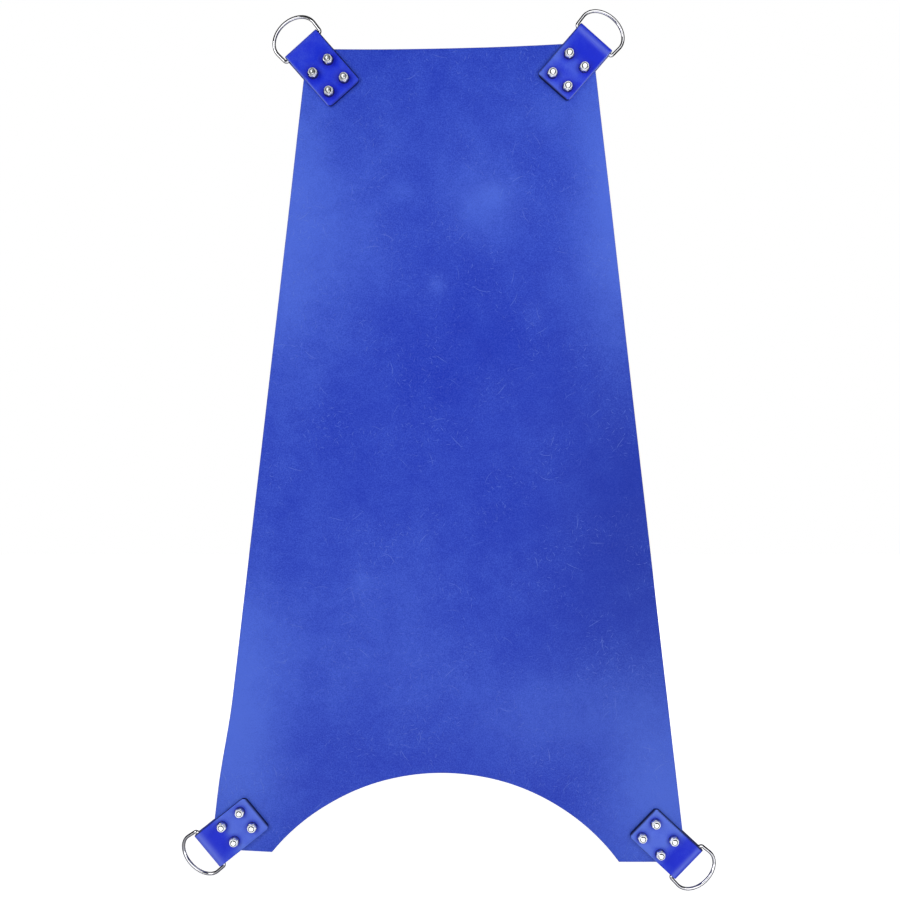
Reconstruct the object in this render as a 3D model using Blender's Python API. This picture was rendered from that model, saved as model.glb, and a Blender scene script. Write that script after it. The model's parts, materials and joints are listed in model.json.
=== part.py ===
"""Hanging leather sling panel: one thick tapered sheet with an arched cut-out in its wide lower
edge, and at each corner a folded leather strap, bolted through the sheet, that holds a D-ring.

World axes: X across the panel, Y from its front to its back, Z up. The origin is the point on the
panel's centre line, in the middle of its thickness, level with where the two upper rings hang.
Metres and radians throughout.
"""

import collections
import math

import bmesh
import bpy
from mathutils import Matrix, Vector

# --- Driving dimensions -------------------------------------------------------------------------

GAP = 0.0003                # air left between pieces that rest on each other
THREAD_GAP = 0.00015        # radial air between a thread and the nut or ring round it

# The sheet. Heights are below the hanging line, so they are negative.
PANEL_THICKNESS = 0.0035
TOP_HALF_WIDTH = 0.1647
SIDE_FLARE = 0.1232         # how much wider each side gets for every metre further down
TOP_EDGE_LEFT_Z = -0.0305
TOP_EDGE_RIGHT_Z = -0.0230
TOP_EDGE_SAG = 0.0033       # the top edge dips this far below a straight cut
LEFT_LEG_OUTER_Z = -0.9723
LEFT_LEG_INNER_Z = -0.9762
RIGHT_LEG_Z = -0.9883
ARCH_CENTRE_X = -0.0100
ARCH_CENTRE_Z = -1.1426
ARCH_RADIUS = 0.2627
LEFT_KICK = 0.0050          # how far the left leg stands outside the straight side
LEFT_KICK_START_Z = -0.7850
LEFT_KICK_END_Z = -0.9050

# The corner straps, folded round the bar of a D-ring
STRAP_WIDTH = 0.0480
STRAP_LENGTH = 0.0785       # from the fold to the end that lies on the sheet
STRAP_THICKNESS = 0.0030
STRAP_CORNER_RADIUS = 0.0055
LOOP_LEAD_IN = 0.0045       # the stretch in which the round loop flattens into the two flaps
SHEET_SETBACK = 0.0045      # from the bar's centre to the sheet's clipped corner

# The D-rings: round wire, one straight bar, two arms that lean out a little, and a shallow arch
WIRE_RADIUS = 0.0020
RING_INNER_WIDTH = 0.0500   # between the arms at the bar
RING_ARM_LENGTH = 0.0140    # from the bar's centre line to where the arch begins
RING_ARM_LEAN = 0.0007      # how far each arm leans out over that length
RING_REACH = 0.0364         # from the bar's centre to the outside of the arch
RING_BEND_RADIUS = 0.0032   # centre line of the two bends beside the bar
LOOP_CLEARANCE = 0.00035    # between the bar and the leather round it

# The fasteners: M6 screws with domed socket heads behind, locking nuts in front
COLUMN_SPACING = 0.0232
SCREW_RADIUS = 0.0030
HOLE_RADIUS = 0.0033
SCREW_STAND_OUT = 0.0006    # the screw's tip beyond the nut
SCREW_TIP_CHAMFER = 0.0006
HEAD_RADIUS = 0.00525
HEAD_HEIGHT = 0.0033
HEAD_EDGE_HEIGHT = 0.0006   # the head's widest ring, above its underside
HEAD_SHOULDER_RADIUS = 0.0045
HEAD_SHOULDER_HEIGHT = 0.0023
HEAD_FACE_RADIUS = 0.0029
HEAD_UNDERSIDE_RADIUS = 0.0051
SOCKET_RADIUS = 0.0023
SOCKET_DEPTH = 0.0019
NUT_ACROSS_FLATS = 0.0100
NUT_HEIGHT = 0.0060
NUT_HEX_HEIGHT = 0.0042
NUT_BASE_CHAMFER = 0.0005
NUT_BASE_CORNER = 0.93      # how far the chamfered base reaches, of the hexagon's corner radius
NUT_SHOULDER = 0.0004       # the slope from the hexagon to the collar
COLLAR_RADIUS = 0.0046
COLLAR_CROWN = 0.0006       # the collar's turned-in end
NUT_LIP_RADIUS = 0.0037     # the opening in that end
NUT_LIP_WIDTH = 0.0004
NUT_LIP_THICKNESS = 0.0005
INSERT_SEAT_RADIUS = 0.0041
INSERT_RADIUS = 0.0039
INSERT_HEIGHT = 0.0014
FASTENER_TURN = math.radians(17)    # how far each fastener is turned against the one before it

# Each corner is placed and punched by hand, so no two are quite alike. fold_x and fold_z are the
# middle of the strap's fold, and points is the way its ring points, in degrees anticlockwise from
# +X. ring_tilt is how far the ring leans to the back about its bar, in degrees. first_row is how far
# the nearer row of screws is from the fold, row_spacing leads to the other row, and shift moves all
# four screws along the ring's bar.
Corner = collections.namedtuple(
    "Corner", "fold_x fold_z points ring_tilt first_row row_spacing shift"
)
CORNERS = {
    "top_left": Corner(-0.1727, -0.0243, 131.5, 0.0, 0.0369, 0.0275, 0.0009),
    "top_right": Corner(0.1695, -0.0172, 48.9, 2.0, 0.0374, 0.0290, -0.0009),
    "bottom_left": Corner(-0.2910, -0.9750, -141.2, 9.0, 0.0355, 0.0275, -0.0016),
    "bottom_right": Corner(0.2867, -0.9913, -43.2, 0.0, 0.0362, 0.0300, -0.0021),
}

# Sizes that follow from those above
LOOP_INNER = WIRE_RADIUS + LOOP_CLEARANCE
LOOP_OUTER = LOOP_INNER + STRAP_THICKNESS
FLAP_INNER = PANEL_THICKNESS / 2 + GAP
FLAP_OUTER = FLAP_INNER + STRAP_THICKNESS
FACE_OF_FASTENER = FLAP_OUTER + GAP
NUT_CORNER_RADIUS = NUT_ACROSS_FLATS / 2 / math.cos(math.pi / 6)
INSERT_SEAT_TOP = NUT_HEIGHT - NUT_LIP_THICKNESS
INSERT_SEAT_FLOOR = INSERT_SEAT_TOP - INSERT_HEIGHT - GAP

# How finely the curves are cut
RING_ARCH_STEPS = 18
RING_BEND_STEPS = 4
FOLD_STEPS = 8
STRAP_CORNER_STEPS = 4
ARCH_STEPS = 28
TOP_EDGE_STEPS = 10
KICK_STEPS = 6
HOLE_SIDES = 12
FASTENER_SIDES = 12
SMOOTH_BELOW = math.radians(35)
SAME_PLACE = 1e-6


# --- Materials ----------------------------------------------------------------------------------

def material(name, colour, roughness, metallic=0.0):
    made = bpy.data.materials.new(name)
    made.use_nodes = True
    shader = made.node_tree.nodes["Principled BSDF"]
    shader.inputs["Base Color"].default_value = (*colour, 1.0)
    shader.inputs["Roughness"].default_value = roughness
    shader.inputs["Metallic"].default_value = metallic
    made.diffuse_color = (*colour, 1.0)
    return made


# --- Shared helpers -----------------------------------------------------------------------------

def clear_scene():
    for old in list(bpy.data.objects):
        bpy.data.objects.remove(old)


def mesh_from(bm, name, finish):
    """Closes up a bmesh's shared edges, turns its faces outward and makes it a mesh."""
    bmesh.ops.remove_doubles(bm, verts=bm.verts, dist=SAME_PLACE)
    bmesh.ops.recalc_face_normals(bm, faces=bm.faces)
    mesh = bpy.data.meshes.new(name)
    bm.to_mesh(mesh)
    bm.free()
    mesh.shade_smooth()
    mesh.set_sharp_from_angle(angle=SMOOTH_BELOW)
    mesh.materials.append(finish)
    return mesh


def place(name, data, parent=None):
    made = bpy.data.objects.new(name, data)
    bpy.context.scene.collection.objects.link(made)
    made.parent = parent
    return made


def loop_edges(bm, points):
    """A closed loop of edges through points in the XZ plane."""
    corners = [bm.verts.new((x, 0.0, z)) for x, z in points]
    return [bm.edges.new((a, b)) for a, b in zip(corners, corners[1:] + corners[:1])]


def circle_points(x, z, radius, sides):
    return [
        (x + radius * math.cos(turn), z + radius * math.sin(turn))
        for turn in (2 * math.pi * i / sides for i in range(sides))
    ]


def arc_points(centre, radius, start, end, steps):
    """Points along an arc in the XZ plane, both ends included."""
    return [
        (centre[0] + radius * math.cos(turn), centre[1] + radius * math.sin(turn))
        for turn in (start + (end - start) * i / steps for i in range(steps + 1))
    ]


def plate(bm, near, far):
    """Fills every loop of bm, holes left open, and thickens it from y = near to y = far."""
    bmesh.ops.triangle_fill(bm, use_beauty=True, edges=bm.edges[:])
    bmesh.ops.translate(bm, verts=bm.verts, vec=(0, near, 0))
    grown = bmesh.ops.extrude_face_region(bm, geom=bm.faces[:])["geom"]
    moved = [item for item in grown if isinstance(item, bmesh.types.BMVert)]
    bmesh.ops.translate(bm, verts=moved, vec=(0, far - near, 0))


# --- Where the corners are ----------------------------------------------------------------------

def corner_direction(corner):
    """The way a corner's ring points, in the plane of the sheet."""
    turn = math.radians(corner.points)
    return Vector((math.cos(turn), 0, math.sin(turn)))


def bar_centre(corner):
    fold = Vector((corner.fold_x, 0, corner.fold_z))
    return fold - corner_direction(corner) * LOOP_OUTER


def corner_frame(name, corner):
    """An empty on the ring's bar: local X points along the ring, Y to the back, Z along the bar."""
    empty = bpy.data.objects.new(f"corner_{name}", None)
    bpy.context.scene.collection.objects.link(empty)
    empty.location = bar_centre(corner)
    empty.rotation_euler = (0, -math.radians(corner.points), 0)
    return empty


def screw_places(corner):
    """The four screws of one corner, as (local X, local Z), the row nearest the ring first."""
    for row in range(2):
        for column in (0.5, -0.5):
            from_fold = corner.first_row + row * corner.row_spacing
            yield LOOP_OUTER - from_fold, column * COLUMN_SPACING + corner.shift


# --- The sheet ----------------------------------------------------------------------------------

def side_x(z):
    """Half the width of the sheet at height z, along its straight cut."""
    top = (TOP_EDGE_LEFT_Z + TOP_EDGE_RIGHT_Z) / 2
    return TOP_HALF_WIDTH + SIDE_FLARE * (top - z)


def top_edge():
    """The upper cut from left to right: a straight line that dips a little in the middle."""
    left, right = -side_x(TOP_EDGE_LEFT_Z), side_x(TOP_EDGE_RIGHT_Z)
    for i in range(TOP_EDGE_STEPS + 1):
        part = i / TOP_EDGE_STEPS
        straight = TOP_EDGE_LEFT_Z + (TOP_EDGE_RIGHT_Z - TOP_EDGE_LEFT_Z) * part
        yield left + (right - left) * part, straight - TOP_EDGE_SAG * 4 * part * (1 - part)


def arch_edge():
    """The round cut-out from the right leg to the left leg."""
    start = math.asin((RIGHT_LEG_Z - ARCH_CENTRE_Z) / ARCH_RADIUS)
    end = math.pi - math.asin((LEFT_LEG_INNER_Z - ARCH_CENTRE_Z) / ARCH_RADIUS)
    return arc_points((ARCH_CENTRE_X, ARCH_CENTRE_Z), ARCH_RADIUS, start, end, ARCH_STEPS)


def left_edge():
    """The left side from its lower corner up: an S-bend brings the leg in to the straight side."""
    yield -side_x(LEFT_LEG_OUTER_Z) - LEFT_KICK, LEFT_LEG_OUTER_Z
    for i in range(KICK_STEPS + 1):
        part = 1 - i / KICK_STEPS
        z = LEFT_KICK_START_Z + (LEFT_KICK_END_Z - LEFT_KICK_START_Z) * part
        yield -side_x(z) - LEFT_KICK * (1 - math.cos(math.pi * part)) / 2, z


def panel_outline():
    outline = list(top_edge())
    outline.append((side_x(RIGHT_LEG_Z), RIGHT_LEG_Z))
    outline.extend(arch_edge())
    outline.extend(left_edge())
    return outline


def clip_corners(bm):
    """Cuts the sheet's corners square to each strap, so that they clear the ring's bar."""
    for corner in CORNERS.values():
        outward = corner_direction(corner)
        bmesh.ops.bisect_plane(
            bm,
            geom=bm.verts[:] + bm.edges[:] + bm.faces[:],
            plane_co=bar_centre(corner) - outward * SHEET_SETBACK,
            plane_no=outward,
            clear_outer=True,
        )
    # Each cut leaves its face whole, and its new edge belongs to the outline
    bmesh.ops.delete(bm, geom=bm.faces[:], context="FACES_ONLY")


def leather_panel(finish):
    bm = bmesh.new()
    bm.faces.new([bm.verts.new((x, 0.0, z)) for x, z in panel_outline()])
    clip_corners(bm)
    for corner in CORNERS.values():
        outward = corner_direction(corner)
        along_bar = Vector((-outward.z, 0, outward.x))
        for along, across in screw_places(corner):
            hole = bar_centre(corner) + outward * along + along_bar * across
            loop_edges(bm, circle_points(hole.x, hole.z, HOLE_RADIUS, HOLE_SIDES))
    plate(bm, -PANEL_THICKNESS / 2, PANEL_THICKNESS / 2)
    return place("leather_panel", mesh_from(bm, "leather_panel", finish))


# --- A corner strap -----------------------------------------------------------------------------

def flap_outline():
    """One flap in the strap's own plane, from the lead-in of its loop to its rounded end."""
    half = STRAP_WIDTH / 2
    end = LOOP_OUTER - STRAP_LENGTH
    radius = STRAP_CORNER_RADIUS
    near = end + radius
    inner = half - radius
    lower = arc_points((near, -inner), radius, -math.pi / 2, -math.pi, STRAP_CORNER_STEPS)
    upper = arc_points((near, inner), radius, math.pi, math.pi / 2, STRAP_CORNER_STEPS)
    return [(-LOOP_LEAD_IN, half), (-LOOP_LEAD_IN, -half), *lower, *upper]


def flap(bm, corner, side):
    """A flap on the front (side -1) or the back (side 1), open where the loop joins it."""
    part = bmesh.new()
    loop_edges(part, flap_outline())
    for along, across in screw_places(corner):
        loop_edges(part, circle_points(along, across, HOLE_RADIUS, HOLE_SIDES))
    plate(part, side * FLAP_INNER, side * FLAP_OUTER)
    mouth = [
        face
        for face in part.faces
        if all(abs(vert.co.x + LOOP_LEAD_IN) < SAME_PLACE for vert in face.verts)
    ]
    bmesh.ops.delete(part, geom=mouth, context="FACES_ONLY")
    loose = bpy.data.meshes.new("flap")
    part.to_mesh(loose)
    part.free()
    bm.from_mesh(loose)
    bpy.data.meshes.remove(loose)


def loop_section():
    """(inner, outer) points round the bar, from the front flap to the back flap."""
    yield Vector((-LOOP_LEAD_IN, -FLAP_INNER)), Vector((-LOOP_LEAD_IN, -FLAP_OUTER))
    for i in range(FOLD_STEPS + 1):
        turn = -math.pi / 2 + math.pi * i / FOLD_STEPS
        ray = Vector((math.cos(turn), math.sin(turn)))
        yield ray * LOOP_INNER, ray * LOOP_OUTER
    yield Vector((-LOOP_LEAD_IN, FLAP_INNER)), Vector((-LOOP_LEAD_IN, FLAP_OUTER))


def strap_mesh(name, corner, finish):
    bm = bmesh.new()
    half = STRAP_WIDTH / 2
    rows = []
    for inner, outer in loop_section():
        around = ((inner, -half), (outer, -half), (outer, half), (inner, half))
        rows.append([bm.verts.new((point.x, point.y, across)) for point, across in around])
    for before, after in zip(rows, rows[1:]):
        for i in range(4):
            j = (i + 1) % 4
            bm.faces.new((before[i], before[j], after[j], after[i]))
    flap(bm, corner, -1)
    flap(bm, corner, 1)
    return mesh_from(bm, name, finish)


# --- A D-ring -----------------------------------------------------------------------------------

def ring_path():
    """The wire's centre line: bar along local Z at X = 0, two bends, two arms and the arch."""
    half = RING_INNER_WIDTH / 2 + WIRE_RADIUS
    bend = RING_BEND_RADIUS
    turn = math.pi / 2
    rise = RING_REACH - WIRE_RADIUS - RING_ARM_LENGTH
    lower = arc_points((bend, -half + bend), bend, 2 * turn, 3 * turn, RING_BEND_STEPS)
    arch = [
        (RING_ARM_LENGTH + rise * up, (half + RING_ARM_LEAN) * sideways)
        for up, sideways in arc_points((0, 0), 1.0, -turn, turn, RING_ARCH_STEPS)
    ]
    upper = arc_points((bend, half - bend), bend, turn, 2 * turn, RING_BEND_STEPS)
    return lower + arch + upper


def ring_curve(finish):
    """The ring as bent wire, a closed tube round its path."""
    curve = bpy.data.curves.new("d_ring", "CURVE")
    curve.dimensions = "3D"
    curve.bevel_depth = WIRE_RADIUS
    curve.bevel_resolution = 2
    path = ring_path()
    spline = curve.splines.new("POLY")
    spline.points.add(len(path) - 1)
    for point, (along, across) in zip(spline.points, path):
        point.co = (along, 0, across, 1)
    spline.use_cyclic_u = True
    spline.use_smooth = True
    curve.materials.append(finish)
    return curve


# --- Fasteners, turned about local Z with local +Z towards the front ----------------------------

def round_ring(radius):
    return lambda turn: radius


def hexagon_ring(across_flats, limit):
    """A hexagon's radius at each angle, its corners taken back to the limit."""
    flat = across_flats / 2
    sixth = math.pi / 3

    def radius(turn):
        return min(flat / math.cos((turn + sixth / 2) % sixth - sixth / 2), limit)

    return radius


def turned(name, profile, finish, closed):
    """Stacks rings of vertices along Z. A closed profile is a tube, an open one gets two caps."""
    bm = bmesh.new()
    rings = []
    for height, radius in profile:
        ring = []
        for i in range(FASTENER_SIDES):
            turn = 2 * math.pi * i / FASTENER_SIDES
            reach = radius(turn)
            ring.append(bm.verts.new((reach * math.cos(turn), reach * math.sin(turn), height)))
        rings.append(ring)
    following = rings[1:] + rings[:1] if closed else rings[1:]
    for lower, upper in zip(rings, following):
        for i in range(FASTENER_SIDES):
            j = (i + 1) % FASTENER_SIDES
            bm.faces.new((lower[i], lower[j], upper[j], upper[i]))
    if not closed:
        bm.faces.new(rings[0])
        bm.faces.new(rings[-1])
    return mesh_from(bm, name, finish)


def nut_mesh(finish):
    """Hexagonal base, round collar above it, and the seat of the locking ring inside."""
    bore = round_ring(SCREW_RADIUS + THREAD_GAP)
    seat = round_ring(INSERT_SEAT_RADIUS)
    collar = round_ring(COLLAR_RADIUS)
    base = hexagon_ring(NUT_ACROSS_FLATS, NUT_CORNER_RADIUS * NUT_BASE_CORNER)
    hexagon = hexagon_ring(NUT_ACROSS_FLATS, NUT_CORNER_RADIUS)
    profile = [
        (0.0, bore),
        (0.0, base),
        (NUT_BASE_CHAMFER, hexagon),
        (NUT_HEX_HEIGHT - NUT_SHOULDER, hexagon),
        (NUT_HEX_HEIGHT, collar),
        (NUT_HEIGHT - COLLAR_CROWN, collar),
        (NUT_HEIGHT, round_ring(NUT_LIP_RADIUS + NUT_LIP_WIDTH)),
        (NUT_HEIGHT, round_ring(NUT_LIP_RADIUS)),
        (INSERT_SEAT_TOP, seat),
        (INSERT_SEAT_FLOOR, seat),
        (INSERT_SEAT_FLOOR, bore),
    ]
    return turned("lock_nut", profile, finish, closed=True)


def insert_mesh(finish):
    """The locking ring in the nut's collar, a plain washer that the screw cuts its thread in."""
    bore = round_ring(SCREW_RADIUS + THREAD_GAP)
    rim = round_ring(INSERT_RADIUS)
    profile = [(0.0, bore), (0.0, rim), (INSERT_HEIGHT, rim), (INSERT_HEIGHT, bore)]
    return turned("locking_ring", profile, finish, closed=True)


def screw_mesh(finish):
    """Z = 0 is the underside of the head. The head is below it and the shank runs up."""
    tip = 2 * FACE_OF_FASTENER + NUT_HEIGHT + SCREW_STAND_OUT
    socket = hexagon_ring(2 * SOCKET_RADIUS * math.cos(math.pi / 6), SOCKET_RADIUS)
    profile = [
        (-HEAD_HEIGHT + SOCKET_DEPTH, socket),
        (-HEAD_HEIGHT, socket),
        (-HEAD_HEIGHT, round_ring(HEAD_FACE_RADIUS)),
        (-HEAD_SHOULDER_HEIGHT, round_ring(HEAD_SHOULDER_RADIUS)),
        (-HEAD_EDGE_HEIGHT, round_ring(HEAD_RADIUS)),
        (0.0, round_ring(HEAD_UNDERSIDE_RADIUS)),
        (0.0, round_ring(SCREW_RADIUS)),
        (tip - SCREW_TIP_CHAMFER, round_ring(SCREW_RADIUS)),
        (tip, round_ring(SCREW_RADIUS - SCREW_TIP_CHAMFER)),
    ]
    return turned("screw", profile, finish, closed=False)


# --- Assembly -----------------------------------------------------------------------------------

def front_facing(name, data, frame, along, height, across, turn):
    """A turned piece whose local Z points out of the front, at a height y in the corner's frame."""
    made = place(name, data, frame)
    made.matrix_local = (
        Matrix.Translation((along, height, across))
        @ Matrix.Rotation(math.pi / 2, 4, "X")
        @ Matrix.Rotation(turn, 4, "Z")
    )
    return made


def build():
    clear_scene()
    panel_leather = material("blue_panel_leather", (0.045, 0.085, 0.50), 0.55)
    strap_leather = material("blue_strap_leather", (0.020, 0.035, 0.55), 0.40)
    chrome = material("polished_chrome", (0.80, 0.80, 0.82), 0.06, 1.0)
    zinc = material("bright_zinc", (0.72, 0.73, 0.74), 0.25, 1.0)
    nylon = material("clear_nylon", (0.70, 0.72, 0.74), 0.45)

    leather_panel(panel_leather)
    ring = ring_curve(chrome)
    nut, insert, screw = nut_mesh(zinc), insert_mesh(nylon), screw_mesh(zinc)
    front = -FACE_OF_FASTENER
    seat = front - INSERT_SEAT_FLOOR - GAP / 2

    for name, corner in CORNERS.items():
        frame = corner_frame(name, corner)
        place(f"strap_{name}", strap_mesh(f"strap_{name}", corner, strap_leather), frame)
        place(f"d_ring_{name}", ring, frame).rotation_euler.z = math.radians(corner.ring_tilt)
        for count, (along, across) in enumerate(screw_places(corner), start=1):
            turn = FASTENER_TURN * count
            tag = f"{name}_{count}"
            front_facing(f"screw_{tag}", screw, frame, along, FACE_OF_FASTENER, across, turn)
            front_facing(f"lock_nut_{tag}", nut, frame, along, front, across, turn)
            front_facing(f"nylon_ring_{tag}", insert, frame, along, seat, across, turn)


build()
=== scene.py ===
"""Looks of the hanging leather panel: the sheet, its corner straps, D-rings and fasteners.

Metres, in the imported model's frame: X across, Y from the front with the nuts to the back, Z up.
"""

import collections
import json
import math

import bmesh
import bpy
import numpy as np
from mathutils import Matrix, Vector, geometry, kdtree, noise


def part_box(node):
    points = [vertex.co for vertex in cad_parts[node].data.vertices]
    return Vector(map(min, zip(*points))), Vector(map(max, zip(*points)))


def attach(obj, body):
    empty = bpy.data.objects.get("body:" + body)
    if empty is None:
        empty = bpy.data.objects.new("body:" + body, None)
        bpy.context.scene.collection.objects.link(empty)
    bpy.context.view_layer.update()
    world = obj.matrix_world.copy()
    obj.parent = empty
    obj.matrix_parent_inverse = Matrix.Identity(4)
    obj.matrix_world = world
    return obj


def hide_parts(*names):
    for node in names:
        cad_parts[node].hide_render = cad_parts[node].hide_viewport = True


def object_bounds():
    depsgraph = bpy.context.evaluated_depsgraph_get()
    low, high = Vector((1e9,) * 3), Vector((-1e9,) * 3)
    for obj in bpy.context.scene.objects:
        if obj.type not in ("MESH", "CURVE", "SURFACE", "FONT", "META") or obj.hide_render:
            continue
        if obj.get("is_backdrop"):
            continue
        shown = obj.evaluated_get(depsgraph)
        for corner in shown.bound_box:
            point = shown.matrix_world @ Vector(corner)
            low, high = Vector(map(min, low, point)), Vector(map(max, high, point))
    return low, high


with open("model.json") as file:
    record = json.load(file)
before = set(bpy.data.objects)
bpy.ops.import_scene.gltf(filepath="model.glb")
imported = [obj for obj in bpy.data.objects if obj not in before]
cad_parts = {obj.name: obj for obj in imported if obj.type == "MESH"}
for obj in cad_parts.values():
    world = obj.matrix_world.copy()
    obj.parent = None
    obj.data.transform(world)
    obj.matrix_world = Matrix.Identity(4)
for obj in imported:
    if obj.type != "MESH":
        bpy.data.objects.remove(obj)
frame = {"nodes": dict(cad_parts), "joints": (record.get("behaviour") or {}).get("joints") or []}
CAD_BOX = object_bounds()

# --- Driving dimensions, as the solids have them ------------------------------------------------

PANEL_THICKNESS = 0.0035
STRAP_WIDTH = 0.0480
STRAP_LENGTH = 0.0785       # from the fold to the end that lies on the sheet
STRAP_CORNER_RADIUS = 0.0055
FLAP_INNER = 0.00205        # from the sheet's middle to a flap's inner face
LOOP_INNER = 0.00235        # from the bar's middle to the fold's inner face
LOOP_OUTER = 0.00535        # and to its outer face
LOOP_LEAD_IN = 0.0045       # half the way over which a flap closes in beside the bar

WIRE_RADIUS = 0.0020
RING_INNER_WIDTH = 0.0500
RING_ARM_LENGTH = 0.0140    # from the bar's middle to where the arch begins
RING_ARM_LEAN = 0.0007      # how far each arm leans outward on that way
RING_REACH = 0.0364         # from the bar's middle to the arch's outer crest
RING_BEND_RADIUS = 0.0032

SCREW_RADIUS = 0.0030
HOLE_RADIUS = 0.0033
FACE_OF_FASTENER = 0.00535  # from the sheet's middle to a nut's base or a head's underside
SCREW_STAND_OUT = 0.0006    # of the tip, past the nut
HEAD_RADIUS = 0.00525
HEAD_HEIGHT = 0.0033
SOCKET_RADIUS = 0.0023
SOCKET_DEPTH = 0.0019
NUT_ACROSS_FLATS = 0.0100
NUT_HEIGHT = 0.0060
NUT_HEX_HEIGHT = 0.0042
COLLAR_RADIUS = 0.0046
NUT_LIP_RADIUS = 0.0037
INSERT_SEAT_RADIUS = 0.0041
INSERT_RADIUS = 0.0039
INSERT_HEIGHT = 0.0014
INSERT_SEAT_FLOOR = 0.0038
INSERT_LIFT = 0.00015       # of the locking ring off its seat

# --- Driving dimensions of the looks ------------------------------------------------------------

PANEL_RIM = 0.0007          # rounding of the sheet's cut edge
PANEL_SPACING = 0.0060      # between the sheet's mesh points
SWELL = 0.00176             # of the sheet out of its plane for noise of 1, which seldom passes 0.6
SWELL_START = 0.085         # from a corner's bar to where the sheet may begin to swell
SWELL_FULL = 0.170          # and to where it swells freely
WIDE_WAVES = (5.5, 4.0, 0.37)   # that noise's scale across and up, and the layer it is read in
SMALL_WAVES = (17.0, 14.0, 4.1)
SMALL_SHARE = 0.30

STRAP_RIM = 0.0009
STRAP_SPACING = 0.0015
FOLD_SPACING = 0.00045      # between rows of mesh points round the fold
LEATHER_AT_FASTENER = 0.00328   # a flap's thickness where a nut or head presses on it
LOOP_LEATHER = 0.0034       # and round the bar
PILLOW = 0.00080            # how far the leather stands up between the fasteners
PILLOW_START = 0.014        # from the bar to where it begins to stand up
PILLOW_FULL = 0.034
PILLOW_EDGE = (-0.002, 0.006)   # from a flap's edge, where it falls off again
PILLOW_REACH = 0.0046       # over which it rises beside a nut or head
PRESS_RADIUS = 0.0058       # of the leather that a nut or head holds flat

RING_SPACING = 0.0016       # between the rows of mesh points along a ring
WELD_HEIGHT = 0.00012       # of the flash in the middle of a ring's bar
WELD_REACH = 0.0012
UNEVENNESS = 0.00002        # of a ring's wire
UNEVEN_SCALE = 200          # of that noise, for each metre

THREAD_PITCH = 0.0010
THREAD_DEPTH = 0.0005
THREAD_LENGTH = 0.0035      # of the threaded tip, the only part that shows
THREAD_ROWS = 28
TIP_CHAMFER = 0.0007
TIP_SLOPE = 1.1             # how fast that chamfer narrows the tip
CHAMFER_SLOPE = 1.7         # how fast a nut's corners grow away from its faces
SPIN_STEP = math.radians(17)    # from one of a corner's fasteners to the next

DEPTH = Vector((0, 1, 0))
FRONT, BACK = -1, 1
SAME_PLACE = 1e-6
SMOOTH_BELOW = math.radians(32)
HOLE_SIDES = 16
CORNER_STEPS = 7


# --- Corners ------------------------------------------------------------------------------------

Corner = collections.namedtuple("Corner", "name body to_world tilt screws")


def find_corners():
    """Each corner's axes: X points out along the ring, Y to the back and Z along the bar."""
    for joint in frame["joints"]:
        name = joint["name"].removesuffix("_ring_hinge")
        along = Vector(joint["axis"]).normalized()
        to_world = Matrix((DEPTH.cross(along), DEPTH, along)).transposed().to_4x4()
        to_world.translation = Vector(joint["pos_m"])
        to_local = to_world.inverted()
        screws = []
        for count in range(1, 5):
            low, high = map(Vector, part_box(f"screw_{name}_{count}"))
            screws.append(to_local @ ((low + high) / 2))
        low, high = map(Vector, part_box(f"d_ring_{name}"))
        rise = (low.y + high.y) / (RING_REACH - WIRE_RADIUS)
        yield Corner(name, joint["child"], to_world, math.asin(rise), screws)


CORNERS = list(find_corners())


# --- Materials ----------------------------------------------------------------------------------

MIX_FACTOR, MIX_FIRST, MIX_SECOND = 0, 6, 7     # a Mix node's inputs when it mixes colours
MIX_RESULT = 2                                  # and its output


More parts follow.
